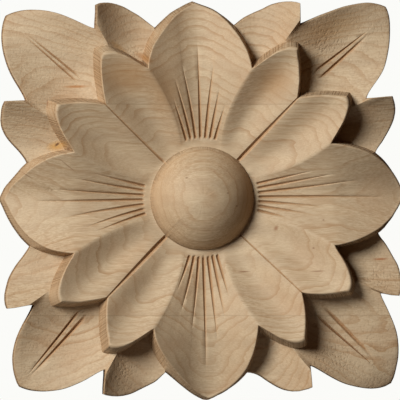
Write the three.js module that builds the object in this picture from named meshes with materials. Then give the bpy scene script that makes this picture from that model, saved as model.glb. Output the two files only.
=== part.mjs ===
// Carved wooden rosette: one blank of pale hardwood, flat behind and carved in front.
// Millimetres. The back lies in the plane Y = 0, the carving faces -Y, X is right, Z is up.
//
// Four main petals point up, down, left and right, with a pair of side petals between each two.
// Below them show four corner leaves and eight small leaves, and a round boss sits in the middle.
// The pattern repeats every 45 degrees and is mirrored each time, so the carving is worked out
// once, from the axis of a main petal (angle 0) to the axis of a corner leaf (angle 45).
// A place on it has a radius from the centre, such an angle, and a height above the back.

import * as THREE from "three";

// Round boss and the plain collar at its foot
const BOSS_RADIUS = 16.4;
const BOSS_RISE = 11.1;
const COLLAR_WIDTH = 1.2;
const COLLAR_HEIGHT = 10.9;

// Upper layer: the petals' points and the notches between them
const MAIN_TIP_RADIUS = 63.3;
const NOTCH_RADIUS = 44.5;
const NOTCH_ANGLE = 22;
const SIDE_TIP_RADIUS = 56.5;
const SIDE_TIP_ANGLE = 33.8;
const CLEFT_RADIUS = 43.9;
const UPPER_WALL_DRAFT = 2;

// Heights of the upper layer: along the main petals' hollow, the ridges beside it,
// the side petals' hollow, and the clefts between the side petals of a pair
const MAIN_CREST_RADIUS = 41;
const MAIN_CREST_HEIGHT = 12.6;
const MAIN_TIP_HEIGHT = 7.6;
const MAIN_SHOULDER_HEIGHT = 20;
const RIDGE_HEIGHT = 18.8;
const SIDE_TIP_HEIGHT = 20;
const CLEFT_HEIGHT = 18.2;
const RIDGE_BOW_ANGLE = 4.1;
const SIDE_HOLLOW_START_ANGLE = 29.4;
const SIDE_HOLLOW_END_ANGLE = 35;

// Lower layer: the leaves' points, and the notches that they make in the silhouette
const LEAF_ROOT_ANGLE = 13.7;
const LEAF_TIP_ANGLE = 27.3;
const LEAF_NOTCH_ANGLE = 30.3;
const LEAF_EDGE_FROM_AXIS = 31.8;
const CORNER_TIP_RADIUS = 84.4;
const SIDE_WALL_DRAFT = 0.4;

// Heights of the lower layer, and the gouges that hollowed it: the radius of each, and how far
// aside its round bottom reaches
const LEAF_BED_HEIGHT = 10.4;
const LEAF_BED_FROM_AXIS = 17.6;
const LEAF_BED_FALL = 0.12;
const LEAF_GOUGE_RADIUS = 14;
const LEAF_GOUGE_REACH = 12;
const LEAF_STEP_ANGLE = 1;
const CORNER_ROOT_RADIUS = 61;
const CORNER_ROOT_HEIGHT = 10.4;
const CORNER_ROOT_CURVE = 55;
const CORNER_TIP_HEIGHT = 6.5;
const CORNER_GOUGE_RADIUS = 22;
const CORNER_GOUGE_REACH = 9;

// V-cuts: seven on each main petal, one in each cleft, two on each corner leaf
const CUT_ANGLES = [0, 4.5, 9, 13.5];
const CUT_EDGE_ANGLES = [0, 7, LEAF_ROOT_ANGLE, 18];
const CUT_LENGTHS = [33, 25, 19, 13];
const CUT_DEPTH = 0.8;
const CUT_HALF_WIDTH = 0.45;
const CUT_EDGE_HALF_ANGLE = 1.1;
const CLEFT_CUT_DEPTH = 1;
const CLEFT_END_DEPTH = 0.5;
const CLEFT_CUT_HALF_WIDTH = 0.6;
const VEIN_DEPTH = 0.7;
const VEIN_HALF_WIDTH = 0.55;
const VEIN_ROOT_SPREAD = 1.7;
const VEIN_END_SPREAD = 0.4;
const VEIN_START_RADIUS = 53;
const VEIN_LENGTH = 22;
const VEIN_FAN_SPACING = 2;

// Shares that shape the free-form carving
const POINTED_EDGE = [0.5, 2.5];
const MAIN_ROUNDNESS = 0.28;
const SIDE_HOLLOW_EVEN_RISE = 0.45;
const SIDE_SECTION_ROUND = 0.5;
const RIDGE_BOW_POWER = 0.6;
const CREST_FALL_POWER = 1.4;
const EDGE_SWELL_POWER = 1.25;
const CORNER_EDGE_STRAIGHT = 0.3;
const CORNER_BED_EVEN_FALL = 0.3;
const CORNER_BED_POWER = 4;

// How finely the surface is divided
const BOSS_RINGS = 5;
const PETAL_RINGS = 9;
const LEAF_RINGS = 6;
const MERGE_DECIMALS = 4;

const COLLAR_RADIUS = BOSS_RADIUS + COLLAR_WIDTH;
const EIGHTHS = 8;
const CORNER_ANGLE = 360 / EIGHTHS;

const radians = THREE.MathUtils.degToRad;
const degrees = THREE.MathUtils.radToDeg;
const mix = THREE.MathUtils.lerp;
const share = (value, from, to) => THREE.MathUtils.clamp((value - from) / (to - from), 0, 1);
const ease = (part) => part * part * (3 - 2 * part);

// Share of a leaf edge's rise from its notch to its point: a full curve, made partly straight
function swell(along, straight) {
  const curve = Math.sin((along * Math.PI) / 2) ** EDGE_SWELL_POWER;
  return mix(curve, along, straight);
}

// Radius of the petals' edge at an angle: the main petal is an ogive, a side petal is fuller
function petalEdge(angle) {
  if (angle <= NOTCH_ANGLE) {
    const across = angle / NOTCH_ANGLE;
    const drop = POINTED_EDGE[0] * across + (1 - POINTED_EDGE[0]) * across ** POINTED_EDGE[1];
    return mix(MAIN_TIP_RADIUS, NOTCH_RADIUS, drop);
  }
  if (angle <= SIDE_TIP_ANGLE) {
    return mix(NOTCH_RADIUS, SIDE_TIP_RADIUS, swell(share(angle, NOTCH_ANGLE, SIDE_TIP_ANGLE), 0));
  }
  return mix(SIDE_TIP_RADIUS, CLEFT_RADIUS, share(angle, SIDE_TIP_ANGLE, CORNER_ANGLE));
}

// Radius of a small leaf's straight edge, which is parallel to the main petal's axis
function straightEdge(angle) {
  return LEAF_EDGE_FROM_AXIS / Math.sin(radians(angle));
}

// Radius where the upper layer's wall meets the leaves, steeper where it is the silhouette
function wallFoot(angle) {
  const across = share(angle, 0, LEAF_ROOT_ANGLE);
  return petalEdge(angle) + mix(SIDE_WALL_DRAFT, UPPER_WALL_DRAFT, across * across);
}

// Radius of the leaves' edge at an angle, which is the silhouette of the whole
function leafEdge(angle) {
  if (angle <= LEAF_ROOT_ANGLE) {
    return wallFoot(angle);
  }
  if (angle <= LEAF_TIP_ANGLE) {
    const rise = swell(share(angle, LEAF_ROOT_ANGLE, LEAF_TIP_ANGLE), 0);
    return mix(wallFoot(LEAF_ROOT_ANGLE), straightEdge(LEAF_TIP_ANGLE), rise);
  }
  if (angle <= LEAF_NOTCH_ANGLE) {
    return straightEdge(angle);
  }
  const along = share(angle, LEAF_NOTCH_ANGLE, CORNER_ANGLE);
  return mix(straightEdge(LEAF_NOTCH_ANGLE), CORNER_TIP_RADIUS, swell(along, CORNER_EDGE_STRAIGHT));
}

// Angle of the ridge between a main and a side petal, which bows early towards the main petal
function ridgeAngle(radius) {
  const along = share(radius, COLLAR_RADIUS, NOTCH_RADIUS) ** RIDGE_BOW_POWER;
  return NOTCH_ANGLE - RIDGE_BOW_ANGLE * Math.sin(Math.PI * along);
}

// Height of the ridges: straight up to the notch, then on along the main petal's shoulder
function ridgeHeight(radius) {
  if (radius <= NOTCH_RADIUS) {
    return mix(COLLAR_HEIGHT, RIDGE_HEIGHT, share(radius, COLLAR_RADIUS, NOTCH_RADIUS));
  }
  return mix(RIDGE_HEIGHT, MAIN_SHOULDER_HEIGHT, share(radius, NOTCH_RADIUS, MAIN_TIP_RADIUS));
}

// Height along the middle of a main petal: up to a low crest, then down to the tip
function mainHollow(radius) {
  if (radius <= MAIN_CREST_RADIUS) {
    const rise = THREE.MathUtils.smoothstep(radius, COLLAR_RADIUS, MAIN_CREST_RADIUS);
    return mix(COLLAR_HEIGHT, MAIN_CREST_HEIGHT, rise);
  }
  const fall = share(radius, MAIN_CREST_RADIUS, MAIN_TIP_RADIUS) ** CREST_FALL_POWER;
  return mix(MAIN_CREST_HEIGHT, MAIN_TIP_HEIGHT, fall);
}

// Height along the middle of a side petal: it lifts more and more towards its tip
function sideHollow(radius) {
  const along = share(radius, COLLAR_RADIUS, SIDE_TIP_RADIUS);
  return mix(COLLAR_HEIGHT, SIDE_TIP_HEIGHT, mix(along ** 2, along, SIDE_HOLLOW_EVEN_RISE));
}

// Height of a straight line that starts at the collar and goes on past its named end
function slope(radius, endRadius, endHeight) {
  const along = (radius - COLLAR_RADIUS) / (endRadius - COLLAR_RADIUS);
  return mix(COLLAR_HEIGHT, endHeight, along);
}

// Section of a main petal, 0 in the middle and 1 at its side: straight with a round bottom
function bowl(across) {
  const rise = Math.hypot(across, MAIN_ROUNDNESS) - MAIN_ROUNDNESS;
  return rise / (Math.hypot(1, MAIN_ROUNDNESS) - MAIN_ROUNDNESS);
}

// Height of the petals: a hollow between two raised sides. A side petal's hollow swings away
// from the ridge towards its tip, and its sides are S-curves.
function petalHeight(radius, angle) {
  const ridge = ridgeAngle(radius);
  if (angle <= ridge) {
    return mix(mainHollow(radius), ridgeHeight(radius), bowl(angle / ridge));
  }
  const hollow = sideHollow(radius);
  const along = share(radius, COLLAR_RADIUS, SIDE_TIP_RADIUS);
  const hollowAngle = mix(SIDE_HOLLOW_START_ANGLE, SIDE_HOLLOW_END_ANGLE, along);
  if (angle < hollowAngle) {
    const across = share(angle, hollowAngle, ridge);
    const rise = mix(across ** 2, ease(across), SIDE_SECTION_ROUND);
    return mix(hollow, slope(radius, NOTCH_RADIUS, RIDGE_HEIGHT), rise);
  }
  const across = share(angle, hollowAngle, CORNER_ANGLE);
  return mix(hollow, slope(radius, CLEFT_RADIUS, CLEFT_HEIGHT), ease(across));
}

// Rise of a gouge cut's section: round as far as it reaches, and straight on past that
function gouge(aside, gougeRadius, reach) {
  const past = Math.max(Math.abs(aside) - reach, 0);
  return (aside ** 2 - past ** 2) / (2 * gougeRadius);
}

// Height of a small leaf: a gouge cut beside the main petal, falling outwards
function smallLeafHeight(radius, angle) {
  const aside = radius * Math.sin(radians(angle)) - LEAF_BED_FROM_AXIS;
  const alongAxis = radius * Math.cos(radians(angle));
  const notchAlong = straightEdge(LEAF_NOTCH_ANGLE) * Math.cos(radians(LEAF_NOTCH_ANGLE));
  const side = gouge(aside, LEAF_GOUGE_RADIUS, LEAF_GOUGE_REACH);
  return LEAF_BED_HEIGHT + side - LEAF_BED_FALL * (alongAxis - notchAlong);
}

// Height of a corner leaf: a gouge cut along the corner's axis, which curves down from the
// cleft, runs nearly level and drops towards the tip
function cornerLeafHeight(radius, angle) {
  const alongAxis = radius * Math.cos(radians(CORNER_ANGLE - angle));
  const fromAxis = radius * Math.sin(radians(CORNER_ANGLE - angle));
  const along = share(alongAxis, CORNER_ROOT_RADIUS, CORNER_TIP_RADIUS);
  const fall = mix(along ** CORNER_BED_POWER, along, CORNER_BED_EVEN_FALL);
  const root = Math.max(CORNER_ROOT_RADIUS - alongAxis, 0) ** 2 / CORNER_ROOT_CURVE;
  const side = gouge(fromAxis, CORNER_GOUGE_RADIUS, CORNER_GOUGE_REACH);
  return mix(CORNER_ROOT_HEIGHT, CORNER_TIP_HEIGHT, fall) + root + side;
}

// A small leaf ends beside the corner leaf in a short step that runs in from their notch
function leafHeight(radius, angle) {
  const small = smallLeafHeight(radius, angle);
  const corner = cornerLeafHeight(radius, angle);
  return mix(small, corner, share(angle, LEAF_NOTCH_ANGLE - LEAF_STEP_ANGLE, LEAF_NOTCH_ANGLE));
}

// Height of the round boss, a cap cut from a ball
function bossHeight(radius) {
  const ball = (BOSS_RADIUS ** 2 + BOSS_RISE ** 2) / (2 * BOSS_RISE);
  return COLLAR_HEIGHT + BOSS_RISE - ball + Math.sqrt(ball ** 2 - radius ** 2);
}

// The surface is laid on lines that run from the boss to the silhouette. Each has an angle at
// the collar and one at the petals' edge. A V-cut is three lines, its bottom and its two lips.
function cutLines() {
  const lines = [];
  CUT_ANGLES.forEach((inner, index) => {
    const cut = { inner, outer: CUT_EDGE_ANGLES[index], length: CUT_LENGTHS[index], depth: CUT_DEPTH };
    if (index > 0) {
      lines.push({ ...cut, depth: 0, aside: -1 });
    }
    lines.push({ ...cut, aside: 0 });
    lines.push({ ...cut, depth: 0, aside: 1 });
  });
  return lines;
}

// Lines through the outline's corners, and between them where the petals' hollow needs one
function petalLines() {
  const halfway = (NOTCH_ANGLE + LEAF_TIP_ANGLE) / 2;
  const stepTop = LEAF_NOTCH_ANGLE - LEAF_STEP_ANGLE;
  const angles = [halfway, LEAF_TIP_ANGLE, stepTop, LEAF_NOTCH_ANGLE, SIDE_TIP_ANGLE];
  return angles.map((angle) => ({ inner: angle, outer: angle }));
}

// Lines from a side petal's point to the cleft. Below the petals the last three before the
// corner's axis become a vein: its outer lip, its bottom, and its inner lip.
function cornerLines() {
  const lip = CORNER_ANGLE - degrees(CLEFT_CUT_HALF_WIDTH / CLEFT_RADIUS);
  const veins = [undefined, undefined, undefined, 1, 0, -1];
  const lines = veins.map((vein, index) => {
    const angle = mix(SIDE_TIP_ANGLE, lip, (index + 1) / veins.length);
    return { inner: angle, outer: angle, vein, fan: VEIN_FAN_SPACING * (veins.length - index) };
  });
  lines[lines.length - 1].cleftLip = true;
  return [...lines, { inner: CORNER_ANGLE, outer: CORNER_ANGLE, cleftBottom: true }];
}

const ridgeLine = { inner: NOTCH_ANGLE, outer: NOTCH_ANGLE, ridge: true };
const LINES = [...cutLines(), ridgeLine, ...petalLines(), ...cornerLines()];

// Angle at which a line meets the petals' edge
function rimAngle(line) {
  return line.outer + (line.aside ? line.aside * CUT_EDGE_HALF_ANGLE : 0);
}

// Angle from a V-cut's bottom to its lip. The cut keeps its width to its end, and past it the
// two lines only fan out to the petals' edge.
function lipAngle(line, radius) {
  const fan = share(radius, COLLAR_RADIUS + line.length, petalEdge(rimAngle(line)));
  return mix(degrees(CUT_HALF_WIDTH / radius), CUT_EDGE_HALF_ANGLE, fan);
}

// Place on the petals, a share of the way from the collar to the petals' edge
function petalPlace(line, along) {
  const radius = mix(COLLAR_RADIUS, petalEdge(rimAngle(line)), along);
  let angle = mix(line.inner, line.outer, along);
  if (line.ridge) {
    angle = ridgeAngle(radius);
  }
  if (line.aside) {
    angle += line.aside * lipAngle(line, radius);
  }
  if (line.cleftLip) {
    angle = CORNER_ANGLE - degrees(CLEFT_CUT_HALF_WIDTH / radius);
  }
  return { radius, angle };
}

// How deep the V-cuts reach at a place on one of their bottom lines
function cutDepth(line, radius) {
  if (line.cleftBottom) {
    return mix(CLEFT_CUT_DEPTH, CLEFT_END_DEPTH, share(radius, COLLAR_RADIUS, CLEFT_RADIUS));
  }
  if (line.depth) {
    return line.depth * (1 - share(radius, COLLAR_RADIUS, COLLAR_RADIUS + line.length));
  }
  return 0;
}

// How far one of a vein's lines stands from the corner's axis: the two veins of a leaf close
// in on each other as they run out, and past their end their lines fan out to the silhouette
function veinOffset(line, radius, edgeRadius) {
  const end = VEIN_START_RADIUS + VEIN_LENGTH;
  const spread = mix(VEIN_ROOT_SPREAD, VEIN_END_SPREAD, share(radius, VEIN_START_RADIUS, end));
  const lip = line.vein < 0 ? Math.min(VEIN_HALF_WIDTH, spread / 2) : VEIN_HALF_WIDTH;
  return mix(spread + line.vein * lip, line.fan, share(radius, end, edgeRadius));
}

// Place on the leaves, a share of the way from the wall's foot to the silhouette
function leafPlace(line, along) {
  const rim = rimAngle(line);
  if (line.vein === undefined) {
    return { radius: mix(wallFoot(rim), leafEdge(rim), along), angle: rim, depth: 0 };
  }
  const edgeRadius = leafEdge(CORNER_ANGLE - degrees(line.fan / CORNER_TIP_RADIUS));
  const radius = mix(wallFoot(rim), edgeRadius, along);
  const veinAngle = CORNER_ANGLE - degrees(veinOffset(line, radius, edgeRadius) / radius);
  const cut = share(radius, VEIN_START_RADIUS, VEIN_START_RADIUS + VEIN_LENGTH);
  const depth = VEIN_DEPTH * Math.sin(Math.PI * Math.sqrt(cut));
  return { radius, angle: along === 0 ? rim : veinAngle, depth: line.vein === 0 ? depth : 0 };
}

// Where the main petal itself is the silhouette, its wall bends as high as the leaf's root is
const SILHOUETTE_FOOT_SHARE =
  leafHeight(wallFoot(LEAF_ROOT_ANGLE), LEAF_ROOT_ANGLE) /
  petalHeight(petalEdge(LEAF_ROOT_ANGLE), LEAF_ROOT_ANGLE);

// One line's points from the pole of the boss to the back, as radius, angle and height
function profile(line) {
  const points = [];
  const inner = petalPlace(line, 0).angle;
  for (let ring = 1; ring <= BOSS_RINGS; ring += 1) {
    const radius = BOSS_RADIUS * Math.sin((ring / BOSS_RINGS) * (Math.PI / 2));
    points.push([radius, inner, bossHeight(radius)]);
  }
  for (let ring = 0; ring <= PETAL_RINGS; ring += 1) {
    const { radius, angle } = petalPlace(line, ring / PETAL_RINGS);
    points.push([radius, angle, petalHeight(radius, angle) - cutDepth(line, radius)]);
  }
  const rim = points[points.length - 1];
  for (let ring = 0; ring <= LEAF_RINGS; ring += 1) {
    const place = leafPlace(line, ring / LEAF_RINGS);
    points.push([place.radius, place.angle, leafHeight(place.radius, place.angle) - place.depth]);
    if (rim[1] < LEAF_ROOT_ANGLE) {
      points[points.length - 1] = [wallFoot(rim[1]), rim[1], rim[2] * SILHOUETTE_FOOT_SHARE];
    }
  }
  const edge = points[points.length - 1];
  points.push([edge[0] + SIDE_WALL_DRAFT, edge[1], 0]);
  return points;
}

// The whole carving: the profiles laid round the centre, turned and mirrored by 45 degrees
function rosetteGeometry() {
  const half = LINES.map(profile);
  const columns = [];
  for (let eighth = 0; eighth < EIGHTHS; eighth += 1) {
    const mirrored = eighth % 2 === 1;
    const order = mirrored ? [...half].reverse() : half;
    const axis = (mirrored ? eighth + 1 : eighth) * CORNER_ANGLE;
    const sense = mirrored ? -1 : 1;
    order.slice(0, -1).forEach((points) => {
      columns.push(points.map(([radius, angle, height]) => {
        const turn = radians(axis + sense * angle);
        return [radius * Math.sin(turn), -height, radius * Math.cos(turn)];
      }));
    });
  }
  return surfaceOf(columns);
}

// Faces between neighbouring columns, closed by a pole in front and a flat fan behind.
// Where a band has closed up, because two rings meet there, it has no faces.
function surfaceOf(columns) {
  const positions = [0, -bossHeight(0), 0, 0, 0, 0];
  const found = new Map();
  const pointIndex = (point) => {
    const key = point.map((value) => value.toFixed(MERGE_DECIMALS)).join();
    if (!found.has(key)) {
      found.set(key, positions.length / 3);
      positions.push(...point);
    }
    return found.get(key);
  };
  const faces = [];
  const addFace = (a, b, c) => {
    if (a !== b && b !== c && c !== a) {
      faces.push(a, b, c);
    }
  };
  const grid = columns.map((points) => points.map(pointIndex));
  grid.forEach((column, number) => {
    const next = grid[(number + 1) % grid.length];
    addFace(0, next[0], column[0]);
    for (let ring = 1; ring < column.length; ring += 1) {
      addFace(column[ring - 1], next[ring], column[ring]);
      addFace(column[ring - 1], next[ring - 1], next[ring]);
    }
    addFace(1, column[column.length - 1], next[column.length - 1]);
  });
  const geometry = new THREE.BufferGeometry();
  geometry.setAttribute("position", new THREE.Float32BufferAttribute(positions, 3));
  geometry.setIndex(faces);
  geometry.computeVertexNormals();
  return geometry;
}

const wood = new THREE.MeshStandardMaterial({ color: 0xc6a987, roughness: 0.72, metalness: 0 });

const rosette = new THREE.Mesh(rosetteGeometry(), wood);
rosette.name = "rosette";

const model = new THREE.Group();
model.add(rosette);

export default model;
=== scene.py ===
"""Carved wooden rosette, seen straight on in soft light from the upper left."""

import math

import bpy
import numpy as np
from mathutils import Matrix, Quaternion, Vector


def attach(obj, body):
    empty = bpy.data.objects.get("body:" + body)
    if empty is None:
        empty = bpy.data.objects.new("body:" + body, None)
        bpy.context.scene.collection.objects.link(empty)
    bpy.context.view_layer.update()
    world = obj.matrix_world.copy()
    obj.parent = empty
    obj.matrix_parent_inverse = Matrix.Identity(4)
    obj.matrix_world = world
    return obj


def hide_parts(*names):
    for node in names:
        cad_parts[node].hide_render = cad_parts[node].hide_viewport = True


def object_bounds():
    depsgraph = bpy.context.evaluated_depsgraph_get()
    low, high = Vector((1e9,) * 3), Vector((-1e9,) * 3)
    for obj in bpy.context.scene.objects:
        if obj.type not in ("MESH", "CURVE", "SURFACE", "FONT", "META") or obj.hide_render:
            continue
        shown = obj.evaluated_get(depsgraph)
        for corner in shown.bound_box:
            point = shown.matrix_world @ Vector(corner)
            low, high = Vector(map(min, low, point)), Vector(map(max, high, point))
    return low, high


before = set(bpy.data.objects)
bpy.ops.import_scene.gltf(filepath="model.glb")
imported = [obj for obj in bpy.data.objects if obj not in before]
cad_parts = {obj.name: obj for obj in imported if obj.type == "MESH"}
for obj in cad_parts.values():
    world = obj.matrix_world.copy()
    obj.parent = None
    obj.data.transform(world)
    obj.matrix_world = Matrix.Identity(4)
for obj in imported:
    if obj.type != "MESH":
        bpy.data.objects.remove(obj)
cad_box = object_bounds()

# The rosette's form
# One blank of pale close-grained hardwood, glued up of strips and sawn to its outline. Boss,
# petals and leaves are cut out of it by hand with gouges, and the thin lines with a knife.

# Sizes are millimetres. A place has a radius, an angle clockwise from straight up, and a
# height above the flat back.
MM = 0.001
CORNER_ANGLE = 45

BOSS_RADIUS = 16.4
BOSS_RISE = 11.1
COLLAR_WIDTH = 1.2
COLLAR_HEIGHT = 10.9
COLLAR_RADIUS = BOSS_RADIUS + COLLAR_WIDTH

MAIN_TIP_RADIUS = 63.3
NOTCH_RADIUS = 44.5
NOTCH_ANGLE = 22
SIDE_TIP_RADIUS = 56.5
SIDE_TIP_ANGLE = 33.8
CLEFT_RADIUS = 43.9
UPPER_WALL_DRAFT = 2.0

MAIN_CREST_RADIUS = 41
MAIN_CREST_HEIGHT = 12.6
MAIN_TIP_HEIGHT = 7.6
MAIN_SHOULDER_HEIGHT = 20
MAIN_ROUNDNESS = 0.28
RIDGE_HEIGHT = 18.8
SIDE_TIP_HEIGHT = 20
CLEFT_HEIGHT = 18.2
RIDGE_BOW_ANGLE = 4.1
SIDE_HOLLOW_ANGLES = (29.4, 35)

LEAF_ROOT_ANGLE = 13.7
LEAF_TIP_ANGLE = 27.3
LEAF_NOTCH_ANGLE = 30.3
LEAF_EDGE_FROM_AXIS = 31.8
CORNER_TIP_RADIUS = 84.4
SIDE_WALL_DRAFT = 0.4

LEAF_BED_HEIGHT = 10.4
LEAF_BED_FROM_AXIS = 17.6
LEAF_BED_FALL = 0.12
LEAF_GOUGE_RADIUS = 14
LEAF_GOUGE_REACH = 12
LEAF_STEP_ANGLE = 1
CORNER_ROOT_RADIUS = 61
CORNER_ROOT_HEIGHT = 10.4
CORNER_ROOT_CURVE = 55
CORNER_TIP_HEIGHT = 6.5
CORNER_GOUGE_RADIUS = 22
CORNER_GOUGE_REACH = 9

# Shares and powers that shape the free-form carving, as in the solid
POINTED_EDGE = (0.5, 2.5)
EDGE_SWELL_POWER = 1.25
CORNER_EDGE_STRAIGHT = 0.3
RIDGE_BOW_POWER = 0.6
CREST_FALL_POWER = 1.4
SIDE_HOLLOW_EVEN_RISE = 0.45
SIDE_SECTION_ROUND = 0.5
CORNER_BED_EVEN_FALL = 0.3
CORNER_BED_POWER = 4


def mix(start, end, part):
    """The value that lies a part of the way from start to end."""
    return start + (end - start) * part


def share(value, start, end):
    """How far value has come from start to end, kept between 0 and 1."""
    return np.clip((value - start) / (end - start), 0, 1)


def ease(part):
    """An S-curve from 0 to 1: three times the square less twice the cube."""
    return part * part * (3 - 2 * part)


def swell(along, straight):
    """A quarter sine wave to a power, made partly straight."""
    return mix(np.sin(along * math.pi / 2) ** EDGE_SWELL_POWER, along, straight)


def fold(angle):
    """The angle to the nearest main petal's axis, from 0 to 45 degrees."""
    return np.abs((angle + CORNER_ANGLE) % 90 - CORNER_ANGLE)


def petal_edge(angle):
    """Radius of the petals' edge: an ogive round a main petal, then a side petal's swelling
    outer edge, and its straight edge down to the cleft."""
    across = share(angle, 0, NOTCH_ANGLE)
    drop = mix(across ** POINTED_EDGE[1], across, POINTED_EDGE[0])
    main = mix(MAIN_TIP_RADIUS, NOTCH_RADIUS, drop)
    rise = swell(share(angle, NOTCH_ANGLE, SIDE_TIP_ANGLE), 0)
    outer = mix(NOTCH_RADIUS, SIDE_TIP_RADIUS, rise)
    inner = mix(SIDE_TIP_RADIUS, CLEFT_RADIUS, share(angle, SIDE_TIP_ANGLE, CORNER_ANGLE))
    return np.where(angle <= NOTCH_ANGLE, main, np.where(angle <= SIDE_TIP_ANGLE, outer, inner))


def straight_edge(angle):
    """Radius of a line parallel to the main petal's axis, at a fixed distance from it."""
    return LEAF_EDGE_FROM_AXIS / np.sin(np.radians(np.maximum(angle, LEAF_ROOT_ANGLE)))


def wall_foot(angle):
    """Radius where the petals' wall meets the leaves: the petals' edge and the wall's draft."""
    across = share(angle, 0, LEAF_ROOT_ANGLE)
    return petal_edge(angle) + mix(SIDE_WALL_DRAFT, UPPER_WALL_DRAFT, across * across)


def leaf_edge(angle):
    """Radius of the silhouette: the main petal's wall, a small leaf's swelling side, its
    straight side, and the corner leaf's side."""
    rise = swell(share(angle, LEAF_ROOT_ANGLE, LEAF_TIP_ANGLE), 0)
    small = mix(wall_foot(LEAF_ROOT_ANGLE), straight_edge(LEAF_TIP_ANGLE), rise)
    along = swell(share(angle, LEAF_NOTCH_ANGLE, CORNER_ANGLE), CORNER_EDGE_STRAIGHT)
    corner = mix(straight_edge(LEAF_NOTCH_ANGLE), CORNER_TIP_RADIUS, along)
    steps = [angle <= LEAF_ROOT_ANGLE, angle <= LEAF_TIP_ANGLE, angle <= LEAF_NOTCH_ANGLE]
    return np.select(steps, [wall_foot(angle), small, straight_edge(angle)], corner)


def slope(radius, end_radius, end_height):
    """Height of a straight line from the collar through its named end, and on past it."""
    along = (radius - COLLAR_RADIUS) / (end_radius - COLLAR_RADIUS)
    return mix(COLLAR_HEIGHT, end_height, along)


def ridge_bow(radius):
    """Angle by which the ridge beside a main petal bows inwards: half a sine wave that
    swells early."""
    along = share(radius, COLLAR_RADIUS, NOTCH_RADIUS) ** RIDGE_BOW_POWER
    return RIDGE_BOW_ANGLE * np.sin(math.pi * along)


def bowl(part):
    """A section from 0 in the middle to 1 at the side, straight with a rounded bottom: the
    arm of a hyperbola."""
    rise = np.hypot(part, MAIN_ROUNDNESS) - MAIN_ROUNDNESS
    return rise / (math.hypot(1, MAIN_ROUNDNESS) - MAIN_ROUNDNESS)


def petal_height(radius, angle):
    """Height of the petals: a hollow line and two raised sides. The main hollow climbs to a
    low crest and falls to the tip, and its section is a bowl. The side hollow climbs ever more
    steeply to its tip, and its sides are S-curves."""
    radius = np.maximum(radius, COLLAR_RADIUS)
    ridge_angle = NOTCH_ANGLE - ridge_bow(radius)
    climb = ease(share(radius, COLLAR_RADIUS, MAIN_CREST_RADIUS))
    fall = share(radius, MAIN_CREST_RADIUS, MAIN_TIP_RADIUS) ** CREST_FALL_POWER
    main_hollow = mix(mix(COLLAR_HEIGHT, MAIN_CREST_HEIGHT, climb), MAIN_TIP_HEIGHT, fall)
    past_notch = share(radius, NOTCH_RADIUS, MAIN_TIP_RADIUS)
    ridge = slope(np.minimum(radius, NOTCH_RADIUS), NOTCH_RADIUS, RIDGE_HEIGHT)
    ridge = ridge + past_notch * (MAIN_SHOULDER_HEIGHT - RIDGE_HEIGHT)
    main = mix(main_hollow, ridge, bowl(np.minimum(angle / ridge_angle, 1)))
    outwards = share(radius, COLLAR_RADIUS, SIDE_TIP_RADIUS)
    side_rise = mix(outwards ** 2, outwards, SIDE_HOLLOW_EVEN_RISE)
    side_hollow = mix(COLLAR_HEIGHT, SIDE_TIP_HEIGHT, side_rise)
    hollow_angle = mix(*SIDE_HOLLOW_ANGLES, outwards)
    to_ridge = share(angle, hollow_angle, ridge_angle)
    to_cleft = share(angle, hollow_angle, CORNER_ANGLE)
    outer = mix(side_hollow, slope(radius, NOTCH_RADIUS, RIDGE_HEIGHT),
                mix(to_ridge ** 2, ease(to_ridge), SIDE_SECTION_ROUND))
    inner = mix(side_hollow, slope(radius, CLEFT_RADIUS, CLEFT_HEIGHT), ease(to_cleft))
    side = np.where(angle < hollow_angle, outer, inner)
    return np.where(angle <= ridge_angle, main, side)


def gouge(aside, gouge_radius, reach):
    """Rise of a gouge cut's section: a parabola, and straight on past its reach."""
    past = np.maximum(np.abs(aside) - reach, 0)
    return (aside ** 2 - past ** 2) / (2 * gouge_radius)


def leaf_height(radius, angle):
    """Height of the leaves, which are round gouge cuts: one beside the main petal, falling
    outwards, and a lower one along the corner's axis that curves down from the cleft, runs
    nearly level and falls to the tip."""
    beside = radius * np.sin(np.radians(angle)) - LEAF_BED_FROM_AXIS
    notch = straight_edge(LEAF_NOTCH_ANGLE) * math.cos(math.radians(LEAF_NOTCH_ANGLE))
    outward = radius * np.cos(np.radians(angle)) - notch
    small = LEAF_BED_HEIGHT + gouge(beside, LEAF_GOUGE_RADIUS, LEAF_GOUGE_REACH)
    small = small - LEAF_BED_FALL * outward
    from_axis = radius * np.sin(np.radians(CORNER_ANGLE - angle))
    along_axis = radius * np.cos(np.radians(CORNER_ANGLE - angle))
    along = share(along_axis, CORNER_ROOT_RADIUS, CORNER_TIP_RADIUS)
    fall = mix(along ** CORNER_BED_POWER, along, CORNER_BED_EVEN_FALL)
    bed = mix(CORNER_ROOT_HEIGHT, CORNER_TIP_HEIGHT, fall)
    bed = bed + np.maximum(CORNER_ROOT_RADIUS - along_axis, 0) ** 2 / CORNER_ROOT_CURVE
    corner = bed + gouge(from_axis, CORNER_GOUGE_RADIUS, CORNER_GOUGE_REACH)
    return mix(small, corner, share(angle, LEAF_NOTCH_ANGLE - LEAF_STEP_ANGLE, LEAF_NOTCH_ANGLE))


def boss_height(radius):
    """Height of a cap cut from a ball, standing on the collar."""
    ball = (BOSS_RADIUS ** 2 + BOSS_RISE ** 2) / (2 * BOSS_RISE)
    return COLLAR_HEIGHT + BOSS_RISE - ball + np.sqrt(ball ** 2 - radius ** 2)


# The knife lines
# Seven V-cuts fan out over each main petal, one runs up each cleft between two side petals,
# and two close in on each other along each corner leaf, all cut freehand.

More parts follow.
